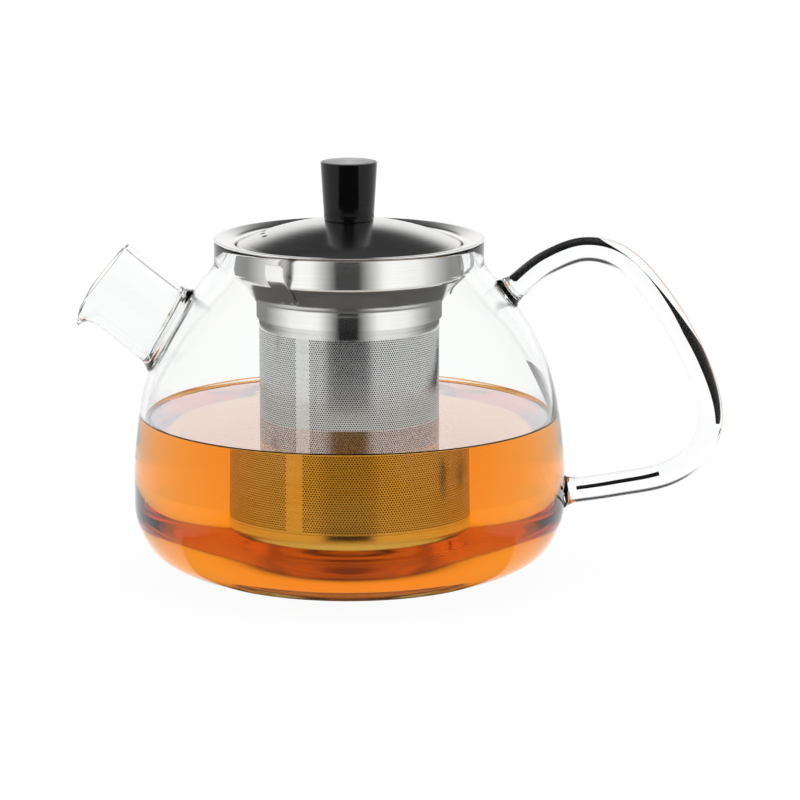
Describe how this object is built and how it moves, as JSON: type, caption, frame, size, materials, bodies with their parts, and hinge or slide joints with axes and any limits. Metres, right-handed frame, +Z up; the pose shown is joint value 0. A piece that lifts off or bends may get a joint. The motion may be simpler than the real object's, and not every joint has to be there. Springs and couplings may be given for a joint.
{
  "type": "glass teapot with infuser",
  "caption": "Clear glass teapot with a short wide spout, an open rod handle, a lift-out perforated steel infuser with spring clips, and a domed steel lid with a black knob.",
  "frame": {"origin": "centre of the flat underside of the glass base, on the pot's axis", "axes": "+Z up the pot's axis, +X towards the handle with the spout on -X, the XZ plane holds the spout and the handle"},
  "size_m": [0.2158, 0.1442, 0.1384],
  "materials": {
    "glass": "clear borosilicate, fire polished",
    "steel": "circular brushed",
    "filter_steel": "etched sheet, satin",
    "knob_plastic": "smooth satin black",
    "washer_rubber": "matt black"
  },
  "bodies": {
    "pot": {"glass_body": "glass", "glass_spout": "glass", "glass_handle": "glass"},
    "infuser": {"infuser_collar": "steel", "filter_wall": "filter_steel", "filter_base": "filter_steel"},
    "clip_front_leaf": {"clip_front": "steel"},
    "clip_right_leaf": {"clip_right": "steel"},
    "clip_back_leaf": {"clip_back": "steel"},
    "lid": {"lid_shell": "steel", "knob": "knob_plastic", "knob_cap": "steel", "knob_washer": "washer_rubber", "knob_screw": "steel"}
  },
  "joints": [
    {"name": "infuser_lift", "type": "slide", "parent": "pot", "child": "infuser", "axis": [0, 0, 1], "range_m": [0, 0.13]},
    {"name": "lid_lift", "type": "slide", "parent": "infuser", "child": "lid", "axis": [0, 0, 1], "range_m": [0, 0.06]},
    {"name": "clip_front_flex", "type": "hinge", "parent": "infuser", "child": "clip_front_leaf", "pos_m": [-0.01898, -0.02772, 0.0945], "axis": [-0.8251, 0.565, 0], "range_deg": [-3, 1.2], "stiffness_Nm_per_rad": 0.6},
    {"name": "clip_right_flex", "type": "hinge", "parent": "infuser", "child": "clip_right_leaf", "pos_m": [0.0335, -0.00258, 0.0945], "axis": [-0.0767, -0.9971, 0], "range_deg": [-3, 1.2], "stiffness_Nm_per_rad": 0.6},
    {"name": "clip_back_flex", "type": "hinge", "parent": "infuser", "child": "clip_back_leaf", "pos_m": [-0.01452, 0.0303, 0.0945], "axis": [0.9018, 0.4321, 0], "range_deg": [-3, 1.2], "stiffness_Nm_per_rad": 0.6}
  ]
}
